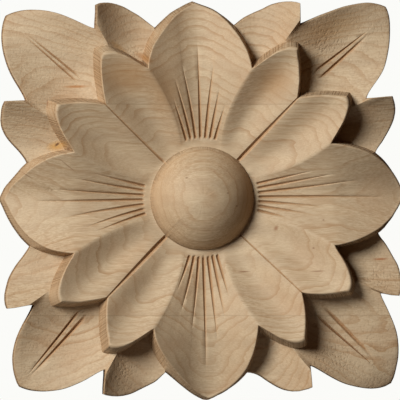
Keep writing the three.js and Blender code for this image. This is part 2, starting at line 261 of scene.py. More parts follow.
# Where each of a petal's cuts runs out, as a radius and an angle from the petal's axis, for
# the petals at the top, right, foot and left. Corners go round from the upper right.
PETAL_CUTS = [
    [(32.5, -15.1), (39, -12), (43.1, -7.4), (50, 0), (43, 6.7), (35.8, 10.8), (30.3, 15.1)],
    [(35.9, -12.8), (41.8, -9.5), (48.7, -5.6), (57, 0.8), (37.5, 5.5), (35.9, 10.3), (27.9, 14.4)],
    [(32.2, -13.5), (38.1, -9.1), (44.5, -4.4), (53.6, 0.7), (41.4, 6.8), (36.6, 13), (30.2, 17)],
    [(35.5, -15.8), (39.1, -12.2), (45.5, -6.5), (54, -0.5), (48.5, 5), (41.4, 10.8), (35.8, 14.9)],
]
CUT_COLLAR_ANGLES = [-13.5, -9, -4.5, 0, 4.5, 9, 13.5]
CUT_RIM_ANGLES = [-18, -LEAF_ROOT_ANGLE, -7, 0, 7, LEAF_ROOT_ANGLE, 18]
CUT_RIM_HALF_ANGLE = 0.8
CUT_STARTS = [18.9, 17.7, 18.2, 18.3]
CUT_DEPTH = 0.75
CUT_HALF_WIDTH = 0.58
CUT_END_HALF_WIDTH = 0.12
CUT_RUN_IN = 0.6
CUT_RISE_POWER = 1.5

# Half widths at the boss and at the edge, short of which the cut stops narrowing
CLEFT_HALF_WIDTHS = [(0.8, 0.35), (0.3, 0.22), (0.9, 0.35), (0.45, 0.25)]
CLEFT_DEPTH_TO_HALF_WIDTH = 1.1
CLEFT_SHORT_OF_RIM = 0.5

# Where the two veins start and end, how far the line midway between them stands from the
# leaf's axis at both, and how far they stand from that line
VEIN_REACHES = [(54, 75), (53.5, 76), (52.5, 79.5), (55, 77)]
VEIN_MIDDLES = [(0, 1.5), (-0.35, -0.4), (1.7, 0.4), (0.5, -0.3)]
VEIN_SPREADS = [(1.35, 0.3), (1.95, 0.7), (1.5, 0.35), (0.9, 0.3)]
VEIN_EDGE_ANGLES = {-1: (-4.2, -2.9, -1.7), 0: (-0.5, 0, 0.5), 1: (1.7, 2.9, 4.2)}
VEIN_RIM_ANGLES = {-1: (-5, -3.7, -2.4), 1: (2.4, 3.7, 5)}

# How deep and wide the veins are, how that changes along them, how far apart the guides
# between them lie, and the room that the guides take to move over
VEIN_DEPTHS = (0.8, 0.8, 0.95, 0.45)
VEIN_HALF_WIDTHS = (0.62, 0.7, 0.78, 0.42)
VEIN_SWELL_POWERS = (0.6, 0.8)
VEIN_END_SHARE = 0.35
BETWEEN_VEINS_SHARE = 0.12
VEIN_ROOM = 1

# The mesh's columns run outwards along guides, so that each ridge, cut and outline corner
# falls on one. A guide has the number of columns up to it, and its angles at the collar, at
# the end of its cut, and at the rim. Its lip is -1 or 1 beside a cut and 0 at the bottom.
BEFORE_CUTS_STEPS = 8
BETWEEN_CUTS_STEPS = 4
CUT_STEPS = 2
BEFORE_VEINS_STEPS = 12
VEIN_STEPS = 3

# The plain guides before a corner, and the mirrored ones after it: the number of columns up
# to each, its angle, and which way it bows
BEFORE_CORNER = [(8, NOTCH_ANGLE, -1), (5, LEAF_TIP_ANGLE, 0), (4, LEAF_NOTCH_ANGLE, 0),
                 (4, SIDE_TIP_ANGLE, 0)]
AFTER_CORNER = [(12, SIDE_TIP_ANGLE, 0), (4, LEAF_NOTCH_ANGLE, 0), (4, LEAF_TIP_ANGLE, 0),
                (5, NOTCH_ANGLE, 1)]

guide_list = []


def add_guide(steps, collar, rim, **facts):
    """Adds a guide. What isn't said is as for a plain line without any cut, which may have any
    reach past the collar."""
    plain = {"steps": steps, "collar": collar, "rim": rim, "end": collar, "edge": rim,
             "reach": COLLAR_RADIUS + 1, "start": BOSS_RADIUS, "lip": 0, "half": 0, "end_half": 0,
             "rim_half": 0, "depth": 0, "end_depth": 0, "bow": 0, "corner": -1, "band": 0}
    guide_list.append(plain | facts)


for quarter in range(4):
    axis = 90 * quarter
    corner_axis = axis + CORNER_ANGLE
    for number, (reach, end) in enumerate(PETAL_CUTS[quarter]):
        rim = axis + CUT_RIM_ANGLES[number]
        for lip in (-1, 0, 1):
            steps = CUT_STEPS
            if lip == -1:
                steps = BETWEEN_CUTS_STEPS if number else BEFORE_CUTS_STEPS
            add_guide(steps, axis + CUT_COLLAR_ANGLES[number], rim, end=axis + end, reach=reach,
                      start=CUT_STARTS[quarter], lip=lip, half=CUT_HALF_WIDTH,
                      end_half=CUT_END_HALF_WIDTH, rim_half=CUT_RIM_HALF_ANGLE,
                      edge=rim + lip * CUT_RIM_HALF_ANGLE, depth=CUT_DEPTH * (lip == 0))
    for steps, angle, bow in BEFORE_CORNER:
        add_guide(steps, axis + angle, axis + angle, bow=bow)
    half, end_half = CLEFT_HALF_WIDTHS[quarter]
    rim_half = math.degrees(end_half / CLEFT_RADIUS)
    for band in (-1, 0, 1):
        for lip in (-1, 0, 1):
            edge = corner_axis + VEIN_EDGE_ANGLES[band][lip + 1]
            if band:
                rim = corner_axis + VEIN_RIM_ANGLES[band][lip + 1]
                steps = BEFORE_VEINS_STEPS if (band, lip) == (-1, -1) else VEIN_STEPS
                add_guide(steps, rim, rim, corner=quarter, band=band, lip=lip, edge=edge)
            else:
                add_guide(CUT_STEPS, corner_axis, corner_axis, lip=lip,
                          reach=CLEFT_RADIUS - CLEFT_SHORT_OF_RIM,
                          half=half, end_half=end_half, rim_half=rim_half,
                          depth=CLEFT_DEPTH_TO_HALF_WIDTH * half * (lip == 0),
                          end_depth=CLEFT_DEPTH_TO_HALF_WIDTH * end_half * (lip == 0),
                          corner=quarter, edge=edge)
    for steps, angle, bow in AFTER_CORNER:
        add_guide(steps, axis + 90 - angle, axis + 90 - angle, bow=bow)

guide = {name: np.array([facts[name] for facts in guide_list], float) for name in guide_list[0]}
steps = guide["steps"].astype(int)
column_guide = np.repeat(np.arange(len(steps)), steps)
before_guide = np.cumsum(steps) - steps
column_part = (np.arange(steps.sum()) - before_guide[column_guide] + 1) / steps[column_guide]


def spread(values):
    """Carries values at the guides evenly over the columns between them, all the way round."""
    before = np.roll(values, 1, axis=-1)
    before = before - 360 * (before > values + 180)
    return mix(before[..., column_guide], values[..., column_guide], column_part)


def petal_guides(radius):
    """Angles of the guides on the petals, and how deep they cut. A cut runs straight to its
    end and its guide goes on to the rim. The lips stand aside by a half width that narrows."""
    to_end = share(radius, COLLAR_RADIUS, guide["reach"])
    to_rim = share(radius, guide["reach"], guide_rim_radius)
    middle = mix(mix(guide["collar"], guide["end"], to_end), guide["rim"], to_rim)
    width = mix(guide["half"], guide["end_half"], to_end ** 2)
    aside = mix(np.degrees(width / radius), guide["rim_half"], to_rim)
    run_in = ease(share(radius, guide["start"], guide["start"] + CUT_RUN_IN))
    depth = mix(guide["depth"], guide["end_depth"], to_end ** CUT_RISE_POWER) * run_in
    return middle + guide["lip"] * aside + guide["bow"] * ridge_bow(radius), depth


def leaf_guides(radius):
    """Angles of the guides on the leaves, and how deep they cut. Those at a corner move over
    to the veins before these start, and fan out to the edge where they have run out."""
    corner = guide["corner"].astype(int)
    start, end = np.array(VEIN_REACHES, float)[corner].T
    along = share(radius, start, end)
    middle = mix(*np.array(VEIN_MIDDLES)[corner].T, along)
    from_middle = mix(*np.array(VEIN_SPREADS)[corner].T, along)
    narrowed = np.where(guide["band"] == 0, BETWEEN_VEINS_SHARE, 1)
    lip_width = np.array(VEIN_HALF_WIDTHS)[corner] * narrowed * mix(1, VEIN_END_SHARE, along)
    offset = middle + guide["band"] * from_middle + guide["lip"] * lip_width
    corner_axis = corner * 90 + CORNER_ANGLE
    on_vein = corner_axis + np.degrees(offset / radius)
    past = ease(share(radius, end, guide_edge_radius))
    moved_over = np.maximum(start - VEIN_ROOM, guide_foot_radius + VEIN_ROOM)
    come = ease(share(radius, guide_foot_radius, moved_over))
    angle = mix(guide_rim_angle, mix(on_vein, guide["edge"], past), come)
    angle = np.where(corner < 0, guide_rim_angle, angle)
    cuts = (corner >= 0) & (guide["band"] != 0) & (guide["lip"] == 0)
    swelling = np.sin(math.pi * along ** VEIN_SWELL_POWERS[0]) ** VEIN_SWELL_POWERS[1]
    return angle, np.array(VEIN_DEPTHS)[corner] * swelling * cuts


guide_rim_angle = guide["rim"] + guide["lip"] * guide["rim_half"]
guide_rim_radius = petal_edge(fold(guide_rim_angle))
guide_foot_radius = wall_foot(fold(guide_rim_angle))
guide_edge_radius = leaf_edge(fold(guide["edge"]))

# The mesh's rings
# They go over the boss, out over the collar and the petals and over their rounded rim, down
# the wall, out along the leaves and over their edge, down the side, and in over the back.

BOSS_RINGS = 16
PETAL_RINGS = 68
ROUND_RINGS = 6
WALL_RINGS = 8
LEAF_RINGS = 34
EDGE_RINGS = 3
SIDE_RINGS = 4
BACK_RINGS = 8

# How far in from the edge the rim is rounded, and how far down, at four angles
ROLL_ANGLES = [0, NOTCH_ANGLE, SIDE_TIP_ANGLE, CORNER_ANGLE]
ROLL_WIDTHS = [0.9, 0.8, 1.3, 0.8]
ROLL_DEPTHS = [0.7, 0.9, 1.2, 0.9]

EDGE_ROUND = 0.6
ROUNDED_FROM_WIDTH = 2
ROUND_TO = math.radians(80)
BOSS_GROOVE_DEPTH = 0.25
BOSS_GROOVE_WIDTH = 0.9


def rows(count, first=1):
    """Shares from first / count to 1, one for each ring, as a column of numbers."""
    return (np.arange(first, count + 1) / count)[:, None]


def rounding(count):
    """How far each ring of a rounded edge lies outwards and down, for a radius of 1."""
    bend = ROUND_TO * rows(count)
    return np.sin(bend), 1 - np.cos(bend)


rim_angle = spread(guide_rim_angle)
rim_radius = petal_edge(fold(rim_angle))
foot_radius = wall_foot(fold(rim_angle))
edge_angle = spread(guide["edge"])
edge_radius = np.maximum(leaf_edge(fold(edge_angle)), foot_radius)
has_leaf = fold(rim_angle) > LEAF_ROOT_ANGLE

boss_radius = BOSS_RADIUS * np.sin(rows(BOSS_RINGS)[:-1] * math.pi / 2)
boss_angle = spread(petal_guides(np.full(len(steps), COLLAR_RADIUS))[0])

outwards, downwards = rounding(ROUND_RINGS)
petal_part = np.concatenate([rows(PETAL_RINGS, 0), np.ones((ROUND_RINGS, 1))])
petal_out = np.concatenate([np.zeros((PETAL_RINGS + 1, 1)), outwards])
petal_down = np.concatenate([np.zeros((PETAL_RINGS + 1, 1)), downwards])
roll_width = np.interp(fold(rim_angle), ROLL_ANGLES, ROLL_WIDTHS)
guide_roll = np.interp(fold(guide_rim_angle), ROLL_ANGLES, ROLL_WIDTHS)
roll_depth = np.interp(fold(rim_angle), ROLL_ANGLES, ROLL_DEPTHS)
petal_radius = mix(BOSS_RADIUS, rim_radius - roll_width, petal_part) + roll_width * petal_out
guide_radius = mix(BOSS_RADIUS, guide_rim_radius - guide_roll, petal_part) + guide_roll * petal_out
guide_angle, guide_depth = petal_guides(guide_radius)
petal_angle = spread(guide_angle)
petal_cut = spread(guide_depth)
petal_top = petal_height(mix(BOSS_RADIUS, rim_radius, petal_part), fold(petal_angle))
petal_top = petal_top - roll_depth * petal_down - petal_cut
groove = share(petal_radius, BOSS_RADIUS + BOSS_GROOVE_WIDTH, BOSS_RADIUS)
petal_top = petal_top - BOSS_GROOVE_DEPTH * groove ** 2 * (petal_part > 0)

root_share = (leaf_height(wall_foot(LEAF_ROOT_ANGLE), LEAF_ROOT_ANGLE)
              / petal_height(petal_edge(LEAF_ROOT_ANGLE), LEAF_ROOT_ANGLE))
leaf_foot = leaf_height(foot_radius, fold(rim_angle))
foot_height = np.where(has_leaf, leaf_foot, petal_top[-1] * root_share)
wall = rows(WALL_RINGS)[:-1]

outwards, downwards = rounding(EDGE_RINGS)
edge_round = EDGE_ROUND * share(edge_radius - foot_radius, 0, ROUNDED_FROM_WIDTH)
leaf_part = np.concatenate([rows(LEAF_RINGS, 0), np.ones((EDGE_RINGS, 1))])
leaf_out = np.concatenate([np.zeros((LEAF_RINGS + 1, 1)), outwards])
leaf_down = np.concatenate([np.zeros((LEAF_RINGS + 1, 1)), downwards])
leaf_radius = mix(foot_radius, edge_radius - edge_round, leaf_part) + edge_round * leaf_out
guide_radius = mix(guide_foot_radius, guide_edge_radius, leaf_part)
guide_angle, guide_depth = leaf_guides(guide_radius)
leaf_angle = np.where(has_leaf, spread(guide_angle), rim_angle)
leaf_cut = spread(guide_depth) * has_leaf
leaf_top = leaf_height(leaf_radius, fold(leaf_angle)) - edge_round * leaf_down - leaf_cut
leaf_top = np.where(has_leaf, leaf_top, foot_height)

side = rows(SIDE_RINGS)
back = 1 - rows(BACK_RINGS)[:-1]
back_radius = leaf_radius[-1] + SIDE_WALL_DRAFT
last_angle = leaf_angle[-1]
columns = len(column_guide)


def stack(*parts):
    """One grid of rings and columns from its parts, each stretched over all the columns."""
    return np.concatenate([np.broadcast_to(part, (len(part), columns)) for part in parts])


radius = stack(boss_radius, petal_radius,
               mix(rim_radius, foot_radius, wall), leaf_radius,
               mix(leaf_radius[-1], back_radius, side), back_radius * back)
angle = stack(boss_angle + 0 * boss_radius, petal_angle,
              rim_angle + 0 * wall, leaf_angle, last_angle + 0 * side, last_angle + 0 * back)
height = stack(boss_height(boss_radius), petal_top,
               mix(petal_top[-1], foot_height, wall), leaf_top,
               mix(leaf_top[-1], 0, side), 0 * back)
cut_depth = stack(0 * boss_radius, petal_cut, 0 * wall, leaf_cut, 0 * side, 0 * back)
rim_x = rim_radius * np.sin(np.radians(rim_angle))
rim_z = rim_radius * np.cos(np.radians(rim_angle))
run = np.cumsum(np.hypot(rim_x - np.roll(rim_x, 1), rim_z - np.roll(rim_z, 1)))
on_leaf = stack(0 * boss_radius, 0 * petal_part, 0 * wall, has_leaf + 0 * leaf_part,
                0 * side, 0 * back)

# The carver's hand
# No two petals are quite alike. Each point of the pattern stands a little aside from where
# the compass put it, the gouge left faint hollows, and the rim wavers.

UPPER_ANGLES = [0, 11, NOTCH_ANGLE, SIDE_TIP_ANGLE, CORNER_ANGLE, 90 - SIDE_TIP_ANGLE,
                90 - NOTCH_ANGLE, 79]
UPPER_DRIFT = [
    [(-0.9, -1.3), (-1.6, -0.4), (-0.4, -0.4), (-0.6, -0.2), (-0.4, 0.2), (-0.9, -0.1),
     (-0.4, -0.2), (0.9, -0.2)],
    [(0.8, -0.1), (1.3, 1.1), (-0.1, 0.7), (-1.6, 0.7), (-0.5, 0.2), (-0.4, 1.2),
     (-0.3, 0.4), (-0.1, -0.6)],
    [(0.4, -0.4), (1.4, 0.5), (-0.4, 0.2), (0, 0.9), (-0.5, 0.3), (0.6, -0.3),
     (-0.6, 0.2), (0.9, -0.5)],
    [(0.2, 1.3), (0.4, -0.8), (0.3, -0.9), (1, -0.3), (0.5, -0.5), (-0.3, -0.3),
     (-0.2, 0.6), (0.4, -0.8)],
]
LOWER_ANGLES = [0, LEAF_ROOT_ANGLE, 20.5, LEAF_TIP_ANGLE, LEAF_NOTCH_ANGLE, 37, CORNER_ANGLE, 53,
                90 - LEAF_NOTCH_ANGLE, 90 - LEAF_TIP_ANGLE, 69.5, 90 - LEAF_ROOT_ANGLE]
LOWER_DRIFT = [
    [(-0.9, -1.3), (-0.9, 0.9), (-0.4, -0.6), (0.9, -0.7), (0.9, 0.1), (0.4, -0.5),
     (0.8, -0.2), (-0.1, -3.5), (-1.4, -1.3), (-0.4, -0.9), (0.4, -0.8), (1.1, -0.1)],
    [(0.8, -0.1), (1.6, 1.1), (0.8, 0.9), (0.2, -0.5), (1.5, 0.4), (1.1, 1.9),
     (-0.4, -0.5), (0.7, -0.5), (1.4, 0.8), (1.8, 1.1), (1.2, -0.1), (0.9, 0.5)],
    [(0.4, -0.3), (0.7, -1.3), (0.6, 0.1), (-0.6, 0.5), (-0.1, 1), (1.3, 0.9),
     (1, 1.5), (0.1, 1), (0.6, -0.5), (-0.5, -1.5), (0, -0.1), (0.4, -0.8)],
    [(0.2, 1.3), (-0.2, 0.5), (-0.8, -0.5), (0.4, 0.5), (-0.2, 0.6), (-0.5, -0.9),
     (-0.4, -0.4), (0.1, 0.3), (-0.3, 0), (0.1, 0.4), (-0.3, 0.5), (-0.6, 0.7)],
]
BOSS_DRIFT = (0.35, 0)
PETAL_LEAN = 0.7
PETAL_DRIFT_POWER = 1.5
DRIFT_SETTLES_IN = 2.5
LATTICE_SIDE = 64


def drift(angles, shifts, turn):
    """Sideways and upward shift at an angle, an S-curve from each listed point to the next."""
    at = np.append(np.add.outer(90 * np.arange(4), angles).ravel(), 360)
    flat = np.array(shifts, float).reshape(-1, 2)
    flat = np.vstack([flat, flat[:1]])
    place = np.interp(turn % 360, at, np.arange(len(at)))
    before = np.minimum(place.astype(int), len(at) - 2)
    part = ease(place - before)
    return [mix(flat[before, way], flat[before + 1, way], part) for way in (0, 1)]


def unevenness(across, along, seed):
    """Random heights from -1 to 1 at whole numbers, joined by S-curves both ways, which repeat
    at every side of the lattice."""
    heights = np.random.default_rng(seed).uniform(-1, 1, (LATTICE_SIDE, LATTICE_SIDE))
    column = np.floor(across).astype(int)
    row = np.floor(along).astype(int)
    left, right = column % LATTICE_SIDE, (column + 1) % LATTICE_SIDE
    near, far = row % LATTICE_SIDE, (row + 1) % LATTICE_SIDE
    aside = ease(across - column)
    return mix(mix(heights[left, near], heights[right, near], aside),
               mix(heights[left, far], heights[right, far], aside), ease(along - row))


upper_shift = drift(UPPER_ANGLES, UPPER_DRIFT, rim_angle)
lower_shift = drift(LOWER_ANGLES, LOWER_DRIFT, edge_angle)
past_root = share(fold(edge_angle), LEAF_ROOT_ANGLE, LEAF_ROOT_ANGLE + DRIFT_SETTLES_IN) * has_leaf
shift = []
for way in (0, 1):
    upper = upper_shift[way]
    lower = mix(upper, lower_shift[way], past_root)
    lean = PETAL_LEAN * (way == 0)
    out_to_rim = share(petal_radius, COLLAR_RADIUS, rim_radius) ** PETAL_DRIFT_POWER
    at_petals = mix(BOSS_DRIFT[way], upper + lean, out_to_rim)
    shift.append(stack(BOSS_DRIFT[way] + 0 * boss_radius, at_petals, upper + lean * (1 - wall),
                       mix(upper, lower, leaf_part), lower + 0 * side, lower * back))

RIM_WAVE_LENGTH = 2.5
RIM_WAVE = 0.1
RIM_WAVE_POWER = 8
TOOL_MARK_WIDTH_ANGLE = 360 / LATTICE_SIDE
TOOL_MARK_LENGTH = 14
TOOL_MARK_DEPTH = 0.07
BOSS_MARK_SHARE = 0.3
MARKS_FADE_BELOW = 5
HAND_WAVE_LENGTH = 9
HAND_WAVE_DEPTH = 0.12

rim_wave = RIM_WAVE * unevenness(run / RIM_WAVE_LENGTH, 0 * run, seed=3)
waved = stack(0 * boss_radius, petal_part ** RIM_WAVE_POWER, 1 + 0 * wall, 1 + 0 * leaf_part,
              1 + 0 * side, back)
radius = radius + rim_wave * waved
x = radius * np.sin(np.radians(angle)) + shift[0]
z = radius * np.cos(np.radians(angle)) + shift[1]
carved = stack(0 * boss_radius + BOSS_MARK_SHARE, 0 * petal_part + 1, 1 - wall, 0 * leaf_part + 1,
               0 * side, 0 * back) * share(height, 0, MARKS_FADE_BELOW)
height = height - carved * TOOL_MARK_DEPTH * (1 + unevenness(
    angle / TOOL_MARK_WIDTH_ANGLE, radius / TOOL_MARK_LENGTH, seed=1))
height = height - carved * HAND_WAVE_DEPTH * (1 + unevenness(
    x / HAND_WAVE_LENGTH, z / HAND_WAVE_LENGTH, seed=2))
cad_low, cad_high = (np.array(corner) / MM for corner in cad_box)
x = np.clip(x, cad_low[0], cad_high[0])
z = np.clip(z, cad_low[2], cad_high[2])

# Points that fall together, where a band has no width, become one point, and the faces that
# this closes up are left out.
MERGE_DECIMALS = 3

places = np.stack([x, -height, z], axis=-1).reshape(-1, 3)
plan = np.stack([radius * np.sin(np.radians(angle)), height, radius * np.cos(np.radians(angle))],
                axis=-1).reshape(-1, 3)
first, merged = np.unique(np.round(plan, MERGE_DECIMALS), axis=0,
                          return_index=True, return_inverse=True)[1:]
merged = merged.reshape(radius.shape)
points = np.vstack([places[first], [[BOSS_DRIFT[0], -boss_height(0), BOSS_DRIFT[1]], [0, 0, 0]]])
front_pole, back_pole = len(first), len(first) + 1
inner, outer = merged[:-1], merged[1:]
inner_next, outer_next = np.roll(inner, -1, axis=1), np.roll(outer, -1, axis=1)
first_next, last_next = np.roll(merged[0], -1), np.roll(merged[-1], -1)
faces = np.concatenate([
    np.stack([inner, outer_next, outer], axis=-1).reshape(-1, 3),
    np.stack([inner, inner_next, outer_next], axis=-1).reshape(-1, 3),
    np.stack([0 * merged[0] + front_pole, first_next, merged[0]], axis=-1),
    np.stack([0 * merged[-1] + back_pole, merged[-1], last_next], axis=-1),
])
whole = (faces[:, 0] != faces[:, 1]) & (faces[:, 1] != faces[:, 2]) & (faces[:, 2] != faces[:, 0])
faces = faces[whole]

# Folds sharper than this stay crisp. The points carry how deep a knife cut is, which darkens
# the cuts with painted shade, whether they lie on a leaf, and the distance run along the rim,
# which the wood's colour follows.
SHARP_FROM = math.radians(38)

mesh = bpy.data.meshes.new("rosette_carving")
mesh.from_pydata(points * MM, [], faces.tolist())
mesh.polygons.foreach_set("use_smooth", np.ones(len(mesh.polygons), bool))
mesh.set_sharp_from_angle(angle=SHARP_FROM)
cut_share = np.append(np.minimum(cut_depth.reshape(-1)[first] / CUT_DEPTH, 1), [0, 0])
leaf_share = np.append(on_leaf.reshape(-1)[first], [0, 0])
along_rim = np.append(np.broadcast_to(run, radius.shape).reshape(-1)[first], [0, 0])
carried = {"knife_cut_shade": cut_share, "leaf_hollow": leaf_share, "along_rim": along_rim}
for name, values in carried.items():
    attribute = mesh.attributes.new(name, "FLOAT", "POINT")
    attribute.data.foreach_set("value", values.astype(np.float32))
rosette = bpy.data.objects.new("rosette_carving", mesh)
bpy.context.collection.objects.link(rosette)

# The wood
# Pale, close-grained hardwood, cut and lightly sanded but not finished, so it is matt, warm
# and nearly even. Its rings lie almost flat in each strip and show as thin contour lines where
# the carving cuts through them, and steep cuts across the fibres are darker and more orange.

# Where a size is three numbers, they run along, through and across the grain, which is level.
# Fibres, pores and grit are finer in the real wood, and are drawn just coarse enough to show.
GRAIN_TILT = math.radians(-1.4)
GLUE_LINES = (-37, 29.8)
GLUE_LINE_WIDTH = 0.25
GLUE_LINE_CORE = 0.05
STRIP_SHIFT = (61, 3.1, 24)
RING_SPACING = 1.6
PITH = (0, 95, 12)
RING_STRETCH = 0.04
RING_WAVE, RING_WAVE_YEARS = (90, 30, 30), 5
RING_WOBBLE, RING_WOBBLE_YEARS = (11, 4, 4), 1.3
RING_FADE = (22, 12, 12)
FAINTEST_YEAR = 0.25
FAINTEST_PLACE = 0.35
FIBRE = (5, 0.3, 0.3)
BAND = (70, 4, 4)
PORE = (1.5, 0.22, 0.22)
STROKE_WIDTH = 0.4
BLOTCH = 14
PIT = 0.8
PITS_ANYWHERE = 0.35
PITTED_SHOWS = 2.2
GRIT = 0.3
GRIT_RELIEF = 0.35
FIBRE_RELIEF = 0.65
PIT_RELIEF = 1.2
STROKE_RELIEF = 1.2
BUMP_DEPTH = 0.09
ROUGHNESS = (0.62, 0.74)
IOR = 1.5
REFLECTION = 0.4

# Colours, and how strongly each shows
DARK_BAND = "#cbb391"
PALE_BAND = "#d7bf9b"
LATE_WOOD, LATE_WOOD_SHOWS = "#a57748", 0.72
BLOTCH_COLOUR, BLOTCH_SHOWS = "#c79f77", 0.35
TORN_FIBRE, TORN_FIBRE_SHOWS = "#9c7448", (0.22, 0.55)
PORE_COLOUR, PORE_SHOWS = "#8a6643", 0.22
END_GRAIN, END_GRAIN_SHOWS = "#ab7d4e", 0.42
STROKE_COLOUR, STROKE_SHOWS = "#845c34", 0.6
PIT_COLOUR, PIT_SHOWS = "#8a6643", 0.3
# Painted shade: the knife cuts are darkened more the deeper they are.
CUT_SHADE_COLOUR, CUT_SHADE_SHOWS = "#a67648", 0.5
GLUE_COLOUR, GLUE_SHOWS = "#80603f", 0.25

# Knots, dots and torn fibres: the middle, half the length, half the width, turned by degrees
# counter-clockwise, the colour, and how strongly it shows, which is evenly so in the core
MARK_CORE = 0.3
MARKS = [
    (-45.7, 16.6, 3.8, 1.9, 10, "#cb9b54", 0.8), (-45.6, 17.1, 1.2, 0.5, 38, "#6b4526", 0.95),
    (-42.1, 15.6, 0.5, 0.4, 0, "#7a5230", 0.8), (-42.5, 10.5, 4.7, 0.26, -39, "#8a6242", 0.5),
    (-55.1, 7.3, 2.6, 0.24, -32, "#8a6242", 0.6), (-39.5, 35.4, 4.8, 0.6, 1, "#b0763f", 0.85),
    (-48.7, 30.1, 1.8, 0.3, 90, "#94694a", 0.6), (13.5, -23.2, 2.5, 0.36, 3, "#8d6340", 0.75),
    (36.7, -23.0, 2.9, 0.36, 2, "#8d6340", 0.7), (57.0, -19.2, 2.9, 0.42, 2, "#a9683a", 0.9),
    (-4.9, 6.5, 0.6, 0.3, 10, "#7a5230", 0.7), (8.1, 1.7, 0.45, 0.3, 0, "#7a5230", 0.7),
    (11.0, -2.4, 0.5, 0.3, 0, "#7a5230", 0.7), (23.7, -9.4, 1.2, 0.8, 60, "#9a6a48", 0.7),
    (35.4, -15.7, 0.5, 0.4, 0, "#8a6144", 0.7), (38.6, -6.8, 0.45, 0.35, 0, "#8a6144", 0.7),
    (-24.0, 38.5, 12, 7, -8, "#b07f49", 0.5), (-11.5, 34.0, 7, 9, 0, "#b07f49", 0.35),
    (22.5, 37.0, 8, 7, 25, "#b07f49", 0.45), (-18.0, 44.5, 4, 1.3, -32, "#a87238", 0.6),
    (-26.5, 48.0, 4, 1.2, -35, "#b88d55", 0.5), (42.0, 54.0, 14, 5, 18, "#b28651", 0.4),
]

# Where the bottom of a hollow is pitted by the gouge's tip: the middle, and half the length
# and width
PITTED = [(56.5, -25.5, 8, 5), (41, -51, 8, 5), (-25, -54, 5, 7), (40, 49, 8, 7), (-28, 44, 4, 6),
          (-20, 45, 5, 4)]


def linear(colour):
    """The linear value of an sRGB hex colour."""
    parts = [int(colour[start:start + 2], 16) / 255 for start in (1, 3, 5)]
    return [part / 12.92 if part <= 0.04045 else ((part + 0.055) / 1.055) ** 2.4
            for part in parts] + [1]


def add_node(tree, kind, inputs, **settings):
    """Adds a node with its settings. An input is a value, or an output that is linked, or a
    node, whose first output is."""
    node = tree.nodes.new("ShaderNode" + kind)
    for name, value in settings.items():
        setattr(node, name, value)
    for name, value in inputs.items():
        if isinstance(value, bpy.types.Node):
            value = value.outputs[0]
        if isinstance(value, bpy.types.NodeSocket):
            tree.links.new(value, node.inputs[name])
        else:
            node.inputs[name].default_value = value
    return node


wood = bpy.data.materials.new("hardwood_carved_and_sanded")
wood.use_nodes = True
tree = wood.node_tree
tree.nodes.clear()

# Each strip of the board comes from another place in the log.
coordinates = add_node(tree, "TexCoord", {}).outputs["Object"]
level = add_node(tree, "Mapping", {"Vector": coordinates, "Rotation": (0, GRAIN_TILT, 0),
                                   "Scale": (1 / MM, 1 / MM, 1 / MM)})
upward = add_node(tree, "SeparateXYZ", {0: level}).outputs[2]
past_lower = add_node(tree, "Math", {0: upward, 1: GLUE_LINES[0]}, operation="GREATER_THAN")
past_upper = add_node(tree, "Math", {0: upward, 1: GLUE_LINES[1]}, operation="GREATER_THAN")
strip = add_node(tree, "Math", {0: past_lower, 1: past_upper}, operation="ADD")
in_strip = add_node(tree, "VectorMath", {0: strip, 1: STRIP_SHIFT, 2: level},
                    operation="MULTIPLY_ADD")


def grain(size, detail=2, roughness=0.5):
    """Noise with patches of that size in millimetres along, through and across the grain."""
    scale = [1 / length for length in (size if isinstance(size, tuple) else (size,) * 3)]
    place = add_node(tree, "Mapping", {"Vector": in_strip, "Scale": scale})
    return add_node(tree, "TexNoise", {"Vector": place, "Scale": 1, "Detail": detail,
                                       "Roughness": roughness})


def mark(right, up, half_length, half_width, turn):
    """A soft-edged oval: 1 in its core, and evenly down to 0 at its edge."""
    place = add_node(tree, "Mapping", {
        "Vector": level, "Location": (right, 0, up), "Rotation": (0, -math.radians(turn), 0),
        "Scale": (half_length, 1 / MM, half_width)}, vector_type="TEXTURE")
    away = add_node(tree, "VectorMath", {0: place}, operation="LENGTH").outputs["Value"]
    return add_node(tree, "MapRange", {"Value": away, "From Min": 1, "From Max": MARK_CORE})


# The rings are long shells round a pith far behind the back, and noise makes them wave. Each
# darkens slowly through its late wood and ends abruptly, and some are fainter than others.
from_pith = add_node(tree, "Mapping", {
    "Vector": in_strip, "Location": (0, -PITH[1], -PITH[2]), "Scale": (RING_STRETCH, 1, 1)})
distance = add_node(tree, "VectorMath", {0: from_pith}, operation="LENGTH").outputs["Value"]
years = add_node(tree, "Math", {0: distance, 1: RING_SPACING}, operation="DIVIDE")
for size, detail, most_years in ((RING_WAVE, 1, RING_WAVE_YEARS),
                                 (RING_WOBBLE, 2, RING_WOBBLE_YEARS)):
    years = add_node(tree, "Math", {0: grain(size, detail), 1: most_years, 2: years},
                     operation="MULTIPLY_ADD")
season = add_node(tree, "Math", {0: years}, operation="FRACT")
darkens = add_node(tree, "MapRange", {"Value": season, "From Min": 0.6, "From Max": 0.96})
ends = add_node(tree, "MapRange", {"Value": season, "From Min": 1, "From Max": 0.96})
year = add_node(tree, "Math", {0: years}, operation="FLOOR")
year_tone = add_node(tree, "TexWhiteNoise", {"W": year}, noise_dimensions="1D")
year_shows = add_node(tree, "MapRange", {"Value": year_tone, "To Min": FAINTEST_YEAR})
place_shows = add_node(tree, "MapRange", {"Value": grain(RING_FADE), "From Min": 0.35,
                                          "From Max": 0.65, "To Min": FAINTEST_PLACE})
late = darkens
for part in (ends, year_shows, place_shows, LATE_WOOD_SHOWS):
    late = add_node(tree, "Math", {0: late, 1: part}, operation="MULTIPLY")

